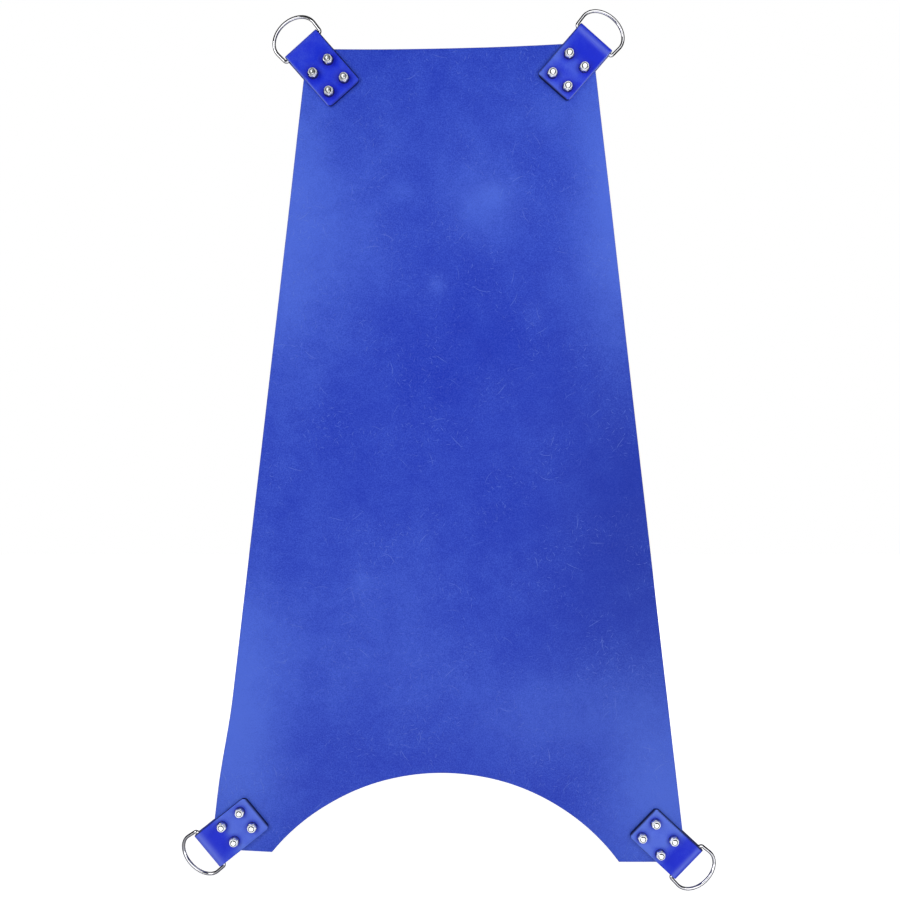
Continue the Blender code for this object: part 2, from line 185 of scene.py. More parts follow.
class Surface:
    """One Principled material and the nodes that feed it."""

    def __init__(self, name, **uniform):
        self.material = bpy.data.materials.new(name)
        self.material.use_nodes = True
        self.nodes = self.material.node_tree.nodes
        self.links = self.material.node_tree.links
        self.shader = self.nodes["Principled BSDF"]
        for socket, value in uniform.items():
            self.shader.inputs[socket.replace("_", " ")].default_value = value

    def feed(self, socket, value):
        """Links another node's output to the socket, or sets a plain value on it."""
        if isinstance(value, bpy.types.NodeSocket):
            self.links.new(value, socket)
        else:
            socket.default_value = value

    def add(self, kind, inputs, output=0, **settings):
        """Adds a node, feeds its inputs by name or number, and gives one of its outputs."""
        made = self.nodes.new("ShaderNode" + kind)
        for setting, value in settings.items():
            setattr(made, setting, value)
        for key, value in inputs.items():
            self.feed(made.inputs[key], value)
        return made.outputs[output]

    def drive(self, socket, value):
        self.feed(self.shader.inputs[socket], value)

    def attribute(self, name, output="Fac"):
        return self.add("Attribute", {}, output, attribute_name=name)

    def object_place(self):
        return self.add("TexCoord", {}, "Object")

    def turned_away(self, low, high):
        """0 where the surface faces the viewer, 1 where it is seen edge on."""
        return self.ramp(self.add("LayerWeight", {}, "Facing"), low, high)

    def noise(self, where, scale, detail=3.0, roughness=0.55, distortion=0.0):
        inputs = {
            "Vector": where,
            "Scale": scale,
            "Detail": detail,
            "Roughness": roughness,
            "Distortion": distortion,
        }
        return self.add("TexNoise", inputs, "Fac")

    def pores(self, where, scale):
        return self.add("TexVoronoi", {"Vector": where, "Scale": scale}, "Distance")

    def ramp(self, value, low, high, to_low=0.0, to_high=1.0):
        """Takes low to to_low and high to to_high, smoothly, and holds outside them."""
        inputs = {
            "Value": value,
            "From Min": low,
            "From Max": high,
            "To Min": to_low,
            "To Max": to_high,
        }
        return self.add("MapRange", inputs, interpolation_type="SMOOTHSTEP")

    def math(self, operation, first, second=0.0):
        return self.add("Math", {0: first, 1: second}, operation=operation)

    def plus(self, first, second):
        return self.math("ADD", first, second)

    def minus(self, first, second):
        return self.math("SUBTRACT", first, second)

    def times(self, first, second):
        return self.math("MULTIPLY", first, second)

    def larger(self, first, second):
        return self.math("MAXIMUM", first, second)

    def mix(self, factor, first, second):
        """Blends two colours: the first at factor 0, the second at factor 1."""
        inputs = {MIX_FACTOR: factor, MIX_FIRST: first, MIX_SECOND: second}
        return self.add("Mix", inputs, MIX_RESULT, data_type="RGBA")

    def bump(self, height, depth, strength=1.0, normal=None):
        inputs = {"Height": height, "Distance": depth, "Strength": strength}
        if normal is not None:
            inputs["Normal"] = normal
        return self.add("Bump", inputs)


def colour(red, green, blue):
    return (red, green, blue, 1.0)


def hairs(surface, where, cell, length, width, kept, seed):
    """Short curved strokes, each turned its own way.

    The strokes lie in random cells, at most one in each, and kept is the share of the cells that
    have one.
    """
    curl, soft_side, soft_end = 1.6, 0.2, 0.15
    moved = surface.add("VectorMath", {0: where, 1: (seed, 0.7 * seed, 0.0)}, operation="ADD")
    inputs = {"Vector": moved, "Scale": 1 / cell}
    middle = surface.add("TexVoronoi", inputs, "Position", voronoi_dimensions="2D")
    dice = surface.add("SeparateColor", {0: middle.node.outputs["Color"]}).node.outputs
    reach = surface.add("VectorMath", {0: moved, 1: middle}, operation="SUBTRACT")
    reach = surface.add("VectorMath", {0: reach, 1: (1.0, 1.0, 0.0)}, operation="MULTIPLY")
    angle = surface.times(dice[0], 2 * math.pi)
    turned_reach = surface.add(
        "VectorRotate", {"Vector": reach, "Angle": angle}, rotation_type="Z_AXIS"
    )
    along, across, _ = surface.add("SeparateXYZ", {0: turned_reach}).node.outputs
    bend = surface.times(surface.minus(dice[1], 0.5), curl / length)
    bend = surface.times(surface.times(along, along), bend)
    off = surface.math("ABSOLUTE", surface.plus(across, bend))
    line = surface.ramp(off, width, soft_side * width)
    ends = surface.ramp(surface.math("ABSOLUTE", along), length / 2, soft_end * length)
    there = surface.math("LESS_THAN", dice[2], kept)
    return surface.times(surface.times(line, ends), there)


def leather_nap(surface, where):
    return surface.noise(where, 720.0, detail=4.0, roughness=0.75)


def cut_edge_dye(surface, where, dark, light):
    """The fibres that show in a cut edge, under its dark finish."""
    return surface.mix(surface.noise(where, 1600.0, detail=2.0), dark, light)


def panel_leather():
    """Thick blue leather: cloudy dye with broad painted light and shade, light hairs in front, a
    matt flesh side, dark edges.
    """
    surface = Surface(
        "panel_leather",
        Specular_IOR_Level=0.25,
        Sheen_Weight=0.06,
        Sheen_Roughness=0.5,
        Sheen_Tint=colour(0.45, 0.62, 1.0),
    )
    where = surface.attribute("flat", "Vector")
    clouds = surface.noise(where, 9.0, roughness=0.6)
    patches = surface.noise(where, 34.0, detail=4.0, roughness=0.62, distortion=0.4)
    nap = leather_nap(surface, where)

    cloudy = surface.plus(surface.times(clouds, 0.5), surface.times(patches, 0.5))
    # Faded dye together with broad painted light and shade raises or lowers the tone
    tone = surface.plus(surface.attribute("faded"), surface.ramp(cloudy, 0.34, 0.66, -0.11, 0.11))
    tone = surface.plus(tone, surface.ramp(nap, 0.25, 0.75, -0.28, 0.28))
    deep, faded = colour(0.005, 0.034, 0.60), colour(0.094, 0.190, 0.92)
    dye = surface.mix(surface.ramp(tone, -0.2, 1.2), deep, faded)
    # Painted shade: dark grey laid over the dye where the sheet lies in less light
    dull = surface.times(surface.attribute("dull"), 0.25)
    dye = surface.mix(dull, dye, colour(0.030, 0.055, 0.20))

    tiny = hairs(surface, where, cell=0.0034, length=0.0030, width=0.00018, kept=0.6, seed=5.1)
    short = hairs(surface, where, cell=0.0085, length=0.0068, width=0.00026, kept=0.5, seed=3.3)
    long = hairs(surface, where, cell=0.0310, length=0.0220, width=0.00034, kept=0.35, seed=9.7)
    rubbed_zone = surface.ramp(surface.noise(where, 14.0, detail=2.0), 0.38, 0.64, 0.12, 1.0)
    marks = surface.larger(surface.larger(short, long), surface.times(tiny, 0.55))
    marks = surface.times(marks, rubbed_zone)
    dye = surface.mix(surface.times(marks, 0.75), dye, colour(0.20, 0.31, 0.86))

    depth = surface.add("SeparateXYZ", {0: where}, "Z")
    flesh = surface.ramp(depth, 0.0, PANEL_THICKNESS / 2)
    tufts = surface.noise(where, 240.0, detail=5.0, roughness=0.8, distortion=0.6)
    flesh_dye = surface.mix(
        surface.ramp(tufts, 0.35, 0.65), colour(0.012, 0.040, 0.46), colour(0.070, 0.130, 0.72)
    )
    dye = surface.mix(surface.times(flesh, 0.7), dye, flesh_dye)

    edge_dye = cut_edge_dye(surface, where, colour(0.006, 0.012, 0.09), colour(0.020, 0.032, 0.22))
    cut = surface.ramp(surface.attribute("cut"), 0.25, 0.8)
    surface.drive("Base Color", surface.mix(cut, dye, edge_dye))

    roughness = surface.ramp(patches, 0.3, 0.7, 0.52, 0.64)
    roughness = surface.minus(roughness, surface.times(marks, 0.08))
    surface.drive("Roughness", surface.plus(roughness, surface.times(flesh, 0.30)))
    pores = surface.pores(where, 850.0)
    grain = surface.plus(surface.times(pores, 0.5), surface.times(nap, 0.5))
    normal = surface.bump(surface.noise(where, 160.0), 0.0004, 0.35)
    normal = surface.bump(tufts, 0.0006, surface.times(flesh, 0.6), normal)
    surface.drive("Normal", surface.bump(grain, 0.00012, 0.55, normal))
    return surface.material


def strap_leather():
    """Smooth dyed leather with painted sheen towards its ends, darker pressed leather and painted
    shade round the nuts, a painted highlight on the fold, and painted highlight and shade on its
    rims.
    """
    surface = Surface("strap_leather", Specular_IOR_Level=0.24)
    where = surface.attribute("flat", "Vector")
    clouds = surface.noise(where, 60.0)
    nap = leather_nap(surface, where)

    # Painted sheen lightens the strap towards its end and beside its long edges
    tone = surface.plus(surface.attribute("pull_up"), surface.ramp(clouds, 0.3, 0.7, -0.12, 0.12))
    tone = surface.plus(tone, surface.ramp(nap, 0.25, 0.75, -0.12, 0.12))
    deep, sheen_colour = colour(0.001, 0.021, 0.83), colour(0.133, 0.239, 0.99)
    dye = surface.mix(surface.ramp(tone, -0.1, 1.4), deep, sheen_colour)
    # Round each nut: darker pressed leather and painted shade, navy right at the nut's base
    pressed = surface.attribute("pressed")
    dye = surface.mix(surface.times(pressed, 0.8), dye, colour(0.0005, 0.003, 0.58))
    dye = surface.mix(surface.ramp(pressed, 0.80, 1.0), dye, colour(0.0005, 0.002, 0.12))
    # Painted highlight along the fold's crest
    rubbed = surface.times(surface.attribute("rubbed"), 0.8)
    dye = surface.mix(rubbed, dye, colour(0.150, 0.215, 0.97))

    edge_dye = cut_edge_dye(surface, where, colour(0.002, 0.004, 0.040), colour(0.006, 0.010, 0.10))
    cut = surface.ramp(surface.attribute("cut"), 0.45, 0.90)
    # The cut edges' dark dye, also laid on the rims as painted shade
    dye = surface.mix(surface.larger(cut, surface.attribute("shaded")), dye, edge_dye)
    # Painted highlight along one long front edge
    dye = surface.mix(surface.attribute("worn"), dye, colour(0.24, 0.32, 0.90))
    surface.drive("Base Color", dye)

    surface.drive("Roughness", surface.ramp(clouds, 0.3, 0.7, 0.34, 0.44))
    wrinkles = surface.times(surface.noise(where, 500.0), 0.8)
    grain = surface.plus(surface.pores(where, 1300.0), wrinkles)
    surface.drive("Normal", surface.bump(grain, 0.00009, 0.60))
    return surface.material


def polished_chrome():
    """Chrome with faint smears. Its colour is painted darker towards its outline, a painted
    reflection of dark surroundings.
    """
    surface = Surface("polished_chrome", Metallic=1.0)
    bright, dark = colour(0.88, 0.88, 0.91), colour(0.04, 0.04, 0.05)
    # Painted reflection: darker where the wire is seen edge on
    surface.drive("Base Color", surface.mix(surface.turned_away(0.12, 0.44), bright, dark))
    where = surface.object_place()
    smears = surface.noise(where, 240.0, detail=4.0, roughness=0.7)
    surface.drive("Roughness", surface.ramp(smears, 0.45, 0.75, 0.035, 0.12))
    surface.drive("Normal", surface.bump(surface.noise(where, 90.0, detail=2.0), 0.0006, 0.22))
    return surface.material


def bright_zinc():
    """Zinc plate with faint matt stains, more satin on the nuts, and painted shade where it turns
    away from the viewer.
    """
    surface = Surface("bright_zinc", Metallic=1.0)
    where = surface.object_place()
    stains = surface.noise(where, 700.0, detail=4.0, roughness=0.65)
    bright, stained = colour(0.98, 0.99, 1.00), colour(0.88, 0.91, 0.93)
    tint = surface.mix(surface.ramp(stains, 0.35, 0.7), bright, stained)
    # Painted shade: a darker grey where the metal is seen edge on
    dark = colour(0.34, 0.36, 0.40)
    surface.drive("Base Color", surface.mix(surface.turned_away(0.55, 0.95), tint, dark))
    roughness = surface.ramp(stains, 0.35, 0.7, 0.10, 0.22)
    satin = surface.times(surface.attribute("satin"), 0.20)
    surface.drive("Roughness", surface.plus(roughness, satin))
    surface.drive("Normal", surface.bump(surface.noise(where, 1500.0, detail=2.0), 0.00008, 0.35))
    return surface.material


def milky_nylon():
    """The cloudy plastic of the locking rings, painted a darker grey as shade in the gap under the
    collar.
    """
    surface = Surface(
        "milky_nylon", Roughness=0.4, Subsurface_Weight=0.25, Subsurface_Scale=0.0006
    )
    haze = surface.noise(surface.object_place(), 900.0)
    # Darker than the plastic itself: painted shade in the gap under the nut's lip
    dark, light = colour(0.16, 0.18, 0.21), colour(0.33, 0.36, 0.40)
    surface.drive("Base Color", surface.mix(haze, dark, light))
    surface.drive("Normal", surface.bump(haze, 0.00005, 0.4))
    return surface.material


# --- Pieces -------------------------------------------------------------------------------------

def piece(name, mesh, finish, slot, node, body, to_world=None):
    """Adds a piece that stands for a CAD node and rides on its body."""
    made = bpy.data.objects.new(name, mesh)
    bpy.context.scene.collection.objects.link(made)
    mesh.materials.append(finish)
    if to_world is not None:
        mesh.transform(to_world)
    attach(made, body)
    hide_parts(node)
    return made


def closed_mesh(name, points, faces):
    """A smooth-shaded mesh with its faces turned outward."""
    mesh = bpy.data.meshes.new(name)
    mesh.from_pydata(points, [], faces)
    bm = bmesh.new()
    bm.from_mesh(mesh)
    bmesh.ops.recalc_face_normals(bm, faces=bm.faces)
    bm.to_mesh(mesh)
    bm.free()
    mesh.shade_smooth()
    mesh.set_sharp_from_angle(angle=SMOOTH_BELOW)
    return mesh


def wall(near, far):
    """Four-sided faces between two loops of equally many points, given by their numbers."""
    size = len(near)
    steps = [(i, (i + 1) % size) for i in range(size)]
    return [(near[i], near[j], far[j], far[i]) for i, j in steps]


def smoothstep(value, low, high):
    part = min(1.0, max(0.0, (value - low) / (high - low)))
    return part * part * (3 - 2 * part)


# --- Flat sheets, cut out, rounded at their edges and bent to shape ------------------------------

SPLIT_SLACK = 0.01          # keeps an edge whole that is longer than the spacing by a hair only
DELAUNAY_INSIDE = 1         # keeps the triangles inside the outline, those in the holes too
RIM_TURNS = [math.radians(degrees) for degrees in (0, 30, 60, 90)]


def arc(centre, radius, start, end, steps):
    turns = (start + (end - start) * i / steps for i in range(steps + 1))
    return [centre + radius * Vector((math.cos(turn), math.sin(turn))) for turn in turns]


def circle(centre, radius, sides):
    return arc(centre, radius, 0, 2 * math.pi, sides)[:-1]


def neighbours(loop):
    return zip(loop[-1:] + loop[:-1], loop, loop[1:] + loop[:1])


def signed_area(loop):
    return sum(here.cross(after) for _, here, after in neighbours(loop)) / 2


def without_short_edges(loop, shortest):
    """Leaves out each point that lies closer than that to the point kept before it."""
    kept = []
    for point in loop:
        if not kept or (point - kept[-1]).length > shortest:
            kept.append(point)
    return kept


def inset(loop, amount):
    """Moves an anticlockwise loop inward, each of its edges by the same amount."""
    moved = []
    for before, here, after in neighbours(loop):
        back, ahead = (here - before).normalized(), (after - here).normalized()
        first, second = Vector((-back.y, back.x)), Vector((-ahead.y, ahead.x))
        moved.append(here + (first + second) * (amount / (1 + first.dot(second))))
    return moved


def resample(loop, spacing):
    """Adds points so that none are much further apart than spacing(point) says."""
    result = []
    for _, here, after in neighbours(loop):
        wanted = (after - here).length / spacing((here + after) / 2)
        steps = max(1, math.ceil(wanted - SPLIT_SLACK))
        result.extend(here.lerp(after, i / steps) for i in range(steps))
    return result


def inside(points, loop):
    """Which of the points lie inside the loop, by counting the edges to their right."""
    x, y = points[:, 0], points[:, 1]
    found = np.zeros(len(points), bool)
    for _, here, after in neighbours(loop):
        if here.y == after.y:
            continue
        crossing = here.x + (after.x - here.x) * (y - here.y) / (after.y - here.y)
        found ^= ((here.y > y) != (after.y > y)) & (x < crossing)
    return found


def in_sheet(points, outline, holes):
    kept = inside(points, outline)
    for hole in holes:
        kept &= ~inside(points, hole)
    return kept


def fill_points(outline, holes, rows, spacing):
    """Points in staggered rows, all over the sheet but clear of its edges."""
    low, high = min(point.y for point in outline), max(point.y for point in outline)
    columns = np.arange(low, high, spacing)
    grid = [
        (row, column + spacing / 2 * (i % 2)) for i, row in enumerate(rows) for column in columns
    ]
    grid = np.array(grid)
    grid = grid[in_sheet(grid, outline, holes)]
    edge = [point for loop in (outline, *holes) for point in resample(loop, lambda _: spacing)]
    tree = kdtree.KDTree(len(edge))
    for i, point in enumerate(edge):
        tree.insert(point.to_3d(), i)
    tree.balance()
    clear = 0.4 * spacing
    return [Vector(point) for point in grid if tree.find((*point, 0.0))[2] > clear]


def triangulated(outline, holes, fill):
    """Triangles over a sheet: all points, the triangles, and each loop's point numbers."""
    loops = [outline, *holes]
    fixed = [point for loop in loops for point in loop]
    edges, numbers = [], []
    for loop in loops:
        first = len(edges)
        numbers.append(range(first, first + len(loop)))
        edges.extend((first + i, first + (i + 1) % len(loop)) for i in range(len(loop)))
    points, _, triangles, sources, _, _ = geometry.delaunay_2d_cdt(
        fixed + fill, edges, [], DELAUNAY_INSIDE, SAME_PLACE
    )
    number_of = {source: number for number, found in enumerate(sources) for source in found}
    loops = [[number_of[i] for i in loop] for loop in numbers]
    rims = [set(hole) for hole in loops[1:]]
    kept = [three for three in triangles if not any(rim.issuperset(three) for rim in rims)]
    return points, kept, loops


def sheet_mesh(name, outline, holes, fill, rim, half_thickness, shape, marks):
    """A closed sheet with rounded edges.

    shape(a, b, level) bends it: level runs from -1 on one face to 1 on the other.
    marks(a, b) gives named values that the material reads.
    """
    face_loop = inset(outline, rim)
    points, triangles, loops = triangulated(face_loop, holes, fill)
    flat = [(point.x, point.y, level) for level in (-1, 1) for point in points]
    cut = [0.0] * len(flat)
    count = len(points)
    faces = [list(three) for three in triangles]
    faces += [[i + count for i in reversed(three)] for three in triangles]

    rows = [loops[0]]
    for level_side, turns in ((-1, RIM_TURNS[1:]), (1, RIM_TURNS[:0:-1])):
        for turn in turns:
            level = 1 - rim * (1 - math.cos(turn)) / half_thickness
            ring = inset(outline, rim * (1 - math.sin(turn)))
            rows.append(range(len(flat), len(flat) + len(ring)))
            flat.extend((point.x, point.y, level_side * level) for point in ring)
            cut.extend([math.sin(turn)] * len(ring))
    rows.append([i + count for i in loops[0]])
    walls = list(zip(rows, rows[1:]))
    walls += [(hole, [i + count for i in hole]) for hole in loops[1:]]
    for near, far in walls:
        faces += wall(near, far)

    mesh = closed_mesh(name, [shape(a, b, level) for a, b, level in flat], faces)
    flat_values = [(a, b, level * half_thickness) for a, b, level in flat]
    mesh.attributes.new("flat", "FLOAT_VECTOR", "POINT").data.foreach_set(
        "vector", np.array(flat_values, dtype=np.float32).ravel()
    )
    values = {"cut": cut}
    for a, b, _ in flat:
        for mark, value in marks(a, b).items():
            values.setdefault(mark, []).append(value)
    for mark, listed in values.items():
        mesh.attributes.new(mark, "FLOAT", "POINT").data.foreach_set("value", listed)
    return mesh


# --- The panel ----------------------------------------------------------------------------------

def front_loops(node):
    """The closed outlines of a flat node's front face, largest first, in the XZ plane."""
    bm = bmesh.new()
    bm.from_mesh(frame["nodes"][node].data)
    bmesh.ops.remove_doubles(bm, verts=bm.verts, dist=SAME_PLACE)
    bm.edges.index_update()
    limit = min(vert.co.y for vert in bm.verts) + SAME_PLACE
    front = {face for face in bm.faces if all(vert.co.y < limit for vert in face.verts)}
    edges = {edge for edge in bm.edges if sum(face in front for face in edge.link_faces) == 1}
    loops = []
    while edges:
        edge = min(edges, key=lambda edge: edge.index)      # so that each run starts alike
        edges.remove(edge)
        start, here = edge.verts
        loop = [start.co.xz]
        while here is not start:
            loop.append(here.co.xz)
            edge = next(other for other in here.link_edges if other in edges)
            edges.remove(edge)
            here = edge.other_vert(here)
        loops.append(loop if signed_area(loop) > 0 else loop[::-1])
    bm.free()
    return sorted(loops, key=signed_area, reverse=True)


def follow_bends(loop, steps=4, gentle=math.radians(14), alike=1.5):
    """Rounds the gentle bends between edges of like length, such as those of a faceted arc."""
    result = []
    size = len(loop)

    def heading(i, edge):
        """The way the rounded outline runs through a point, or along the edge at a real corner."""
        back, ahead = loop[i] - loop[i - 1], loop[(i + 1) % size] - loop[i]
        longer = max(back.length, ahead.length) / min(back.length, ahead.length)
        if back.angle(ahead) > gentle or longer > alike:
            return edge
        return (back.normalized() + ahead.normalized()).normalized() * edge.length

    for i in range(size):
        here, after = loop[i], loop[(i + 1) % size]
        edge = after - here
        leaving, arriving = heading(i, edge), heading((i + 1) % size, edge)
        for step in range(steps):
            part = step / steps
            rest = 1 - part
            # a cubic curve between the two points that leaves and arrives along the headings
            result.append(
                here * (rest * rest * (1 + 2 * part))
                + after * (part * part * (1 + 2 * rest))
                + leaving * (part * rest * rest)
                - arriving * (part * part * rest)
            )
    return result


# Broad and small places where the dye has faded and where light and shade are painted on: x, z,
# half width, half height and amount, which is below 0 where painted shade darkens the dye
FADE_AND_LIGHT_PLACES = (
    (-0.195, -0.210, 0.055, 0.190, 0.75),
    (0.200, -0.190, 0.050, 0.170, 0.92),
    (0.045, -0.205, 0.050, 0.045, 0.45),
    (-0.100, -0.250, 0.060, 0.100, 0.30),
    (-0.010, -0.140, 0.080, 0.050, 0.15),
    (0.000, -0.385, 0.090, 0.070, -0.15),
    (0.220, -0.560, 0.090, 0.130, -0.20),
    (-0.265, -0.820, 0.060, 0.160, 0.90),
    (-0.150, -0.720, 0.110, 0.120, 0.22),
    (0.255, -0.890, 0.070, 0.120, 0.75),
    (0.030, -0.800, 0.120, 0.060, 0.15),
    (0.130, -0.800, 0.090, 0.060, 0.22),
    (-0.020, -0.690, 0.080, 0.090, 0.10),
    (0.105, -0.105, 0.050, 0.035, 0.18),
    (-0.015, -0.301, 0.012, 0.012, 0.32),
    (0.096, -0.338, 0.014, 0.018, 0.22),
    (0.050, -0.196, 0.016, 0.012, 0.20),
    (-0.054, -0.195, 0.014, 0.010, 0.15),
    (-0.105, -0.655, 0.012, 0.022, 0.18),
)
FADED_EVERYWHERE = 0.25

# Places of painted shade, which turns the dye a dark grey, in the same form
PAINTED_SHADE_PLACES = ((0.240, -0.600, 0.130, 0.260, 1.0),)


def sum_of_places(places, x, z):
    total = 0.0
    for middle_x, middle_z, across, tall, amount in places:
        away = ((x - middle_x) / across) ** 2 + ((z - middle_z) / tall) ** 2
        total += amount * math.exp(-away)
    return total


def panel_marks(x, z):
    """How much fading and painted light, and how much painted shade, the dye has at a place on the
    sheet.
    """
    faded = FADED_EVERYWHERE + sum_of_places(FADE_AND_LIGHT_PLACES, x, z)
    return {"faded": faded, "dull": sum_of_places(PAINTED_SHADE_PLACES, x, z)}


def waves(x, z, across, up, layer):
    return noise.noise(Vector((x * across, z * up, layer)))


def panel_swell(x, z):
    """How far the sheet stands out of its plane: low, wide waves that die out at the straps."""
    away = min((Vector((x, 0, z)) - corner.to_world.translation).length for corner in CORNERS)
    height = waves(x, z, *WIDE_WAVES) + SMALL_SHARE * waves(x, z, *SMALL_WAVES)
    return SWELL * height * smoothstep(away, SWELL_START, SWELL_FULL)


def build_panel(finish):
    outline, *punched = front_loops("leather_panel")
    outline = follow_bends(without_short_edges(outline, 2 * PANEL_RIM))
    outline = resample(outline, lambda _: PANEL_SPACING)
    middles = [sum(loop, Vector((0, 0))) / len(loop) for loop in punched]
    holes = [circle(middle, HOLE_RADIUS, HOLE_SIDES) for middle in middles]
    left, right = min(point.x for point in outline), max(point.x for point in outline)
    rows = np.arange(left, right, PANEL_SPACING * math.sqrt(3) / 2)
    fill = fill_points(inset(outline, PANEL_RIM), holes, rows, PANEL_SPACING)

    def shape(x, z, level):
        return x, level * PANEL_THICKNESS / 2 + panel_swell(x, z), z

    half = PANEL_THICKNESS / 2
    mesh = sheet_mesh("panel", outline, holes, fill, PANEL_RIM, half, shape, panel_marks)
    made = piece("panel_sheet", mesh, finish, "panel_leather", "leather_panel", "panel")
    signed_area(outline)


# --- The straps ---------------------------------------------------------------------------------

LOOP_MIDDLE = (LOOP_INNER + LOOP_OUTER) / 2
QUARTER = LOOP_MIDDLE * math.pi / 2     # along the strip, from the fold's crest to a flap
FLAP_END = STRAP_LENGTH - LOOP_OUTER    # from the bar to a flap's end
HALF_STRIP = QUARTER + FLAP_END


def strip_outline():
    """The strap laid flat: a strip with rounded corners, its fold across the middle."""
    reach, side = HALF_STRIP - STRAP_CORNER_RADIUS, STRAP_WIDTH / 2 - STRAP_CORNER_RADIUS
    outline = []
    for quarter, (a, b) in enumerate(((1, 1), (-1, 1), (-1, -1), (1, -1))):
        start = quarter * math.pi / 2
        centre = Vector((a * reach, b * side))
        outline += arc(centre, STRAP_CORNER_RADIUS, start, start + math.pi / 2, CORNER_STEPS)
    return outline


def row_spacing(a):
    return FOLD_SPACING if abs(a) < 2 * QUARTER else STRAP_SPACING


def strip_rows():
    rows, a = [0.0], 0.0
    while a < HALF_STRIP:
        a += row_spacing(a)
        rows += [a, -a]
    return sorted(rows)


def free_of_fasteners(along, b, screws):
    """0 under a nut or screw head, rising to 1 away from them all."""
    free = 1.0
    for screw in screws:
        away = max(0.0, math.hypot(along - screw.x, b - screw.z) - PRESS_RADIUS)
        free *= 1 - math.exp(-((away / PILLOW_REACH) ** 2))
    return free


def strip_shape(corner, a, b, level):
    """Bends the strip round the bar. level is -1 on the inner face and 1 on the outer face."""
    side = FRONT if a < 0 else BACK
    run = abs(a)
    along = -(run - QUARTER)
    leaving = smoothstep(along, -2 * LOOP_LEAD_IN, 0)
    if run < QUARTER:
        turn = run / LOOP_MIDDLE
        ray = Vector((math.cos(turn), side * math.sin(turn), 0))
        inner = ray * LOOP_INNER
        thickness = LOOP_LEATHER
    else:
        ray = side * DEPTH
        inner = Vector((along, side * (FLAP_INNER + (LOOP_INNER - FLAP_INNER) * leaving), 0))
        rise = smoothstep(-along, PILLOW_START, PILLOW_FULL)
        edge = min(STRAP_WIDTH / 2 - abs(b), FLAP_END + along)
        rise *= free_of_fasteners(along, b, corner.screws) * smoothstep(edge, *PILLOW_EDGE)
        thickness = LEATHER_AT_FASTENER + PILLOW * rise
        thickness += (LOOP_LEATHER - LEATHER_AT_FASTENER) * leaving
    return inner + ray * thickness * (1 + level) / 2 + Vector((0, 0, b))


# Painted sheen: how much lighter each strap is painted, at some distances from the bar towards its
# end
SHEEN_ALONG_STRAP = {
    "top_left": ((0.000, 0.22), (0.075, 0.22)),
    "top_right": (
        (0.022, 0.00), (0.036, 0.55), (0.044, 0.58), (0.051, 0.32), (0.060, 0.38), (0.070, 0.65)
    ),
    "bottom_left": (
        (0.016, 0.00), (0.024, 0.15), (0.034, 0.95), (0.051, 0.90), (0.060, 0.95), (0.070, 1.05)
    ),
    "bottom_right": (
        (0.018, 0.00), (0.026, 0.45), (0.034, 1.00), (0.051, 0.92), (0.060, 1.00), (0.070, 1.15)
    ),
}

# How much painted sheen lightens each strap beside its long edges, where b is below 0 and above it,
# and how far from the bar that goes on
LIGHT_SIDES = {
    "top_left": (0.10, 0.05, 0.080),
    "top_right": (-0.25, 0.40, 0.080),
    "bottom_left": (0.28, 0.45, 0.042),
    "bottom_right": (0.28, 0.20, 0.080),
}
LIGHT_SIDE_BAND = (0.0120, 0.0215)  # from the strap's middle line, where it rises
LIGHT_SIDE_START = (0.002, 0.010)   # from the bar, where it rises
LIGHT_SIDE_FADE = 0.010             # over which it ends

# How strong the painted highlight on each fold is, where (0 at its crest, 1 where the flap begins)
# and how widely
FOLD_HIGHLIGHT = {
    "top_left": (0.50, 0.45, 0.50),
    "top_right": (0.90, 1.35, 0.55),
    "bottom_left": (1.15, 1.05, 0.80),
    "bottom_right": (1.00, 1.15, 0.50),
}

# How far the pressed darkening and painted shade round each nut spread
PRESS_SHADE_SPREAD = {
    "top_left": 0.0048,
    "top_right": 0.0036,
    "bottom_left": 0.0032,
    "bottom_right": 0.0030,
}

# The long side whose front edge has a painted highlight, by the sign of b, on the straps that have
# one
RIM_HIGHLIGHT_SIDE = {"top_left": 1, "top_right": -1}
RIM_HIGHLIGHT = 0.75
RIM_HIGHLIGHT_BAND = (0.0013, 0.0004)        # from that edge

# How dark the painted shade on the rim of each strap's ends is
SHADED_END = {"top_left": 0.5, "top_right": 1.0, "bottom_left": 0.9, "bottom_right": 1.0}
SHADED_END_BAND = (0.0018, 0.0006)

# The long side with painted shade on its rim, by the sign of b, and how dark, on the straps that
# have one
SHADED_SIDE = {"top_left": (-1, 1.0), "top_right": (1, 0.7), "bottom_right": (1, 0.9)}
SHADED_SIDE_BAND = (0.0019, 0.0007)


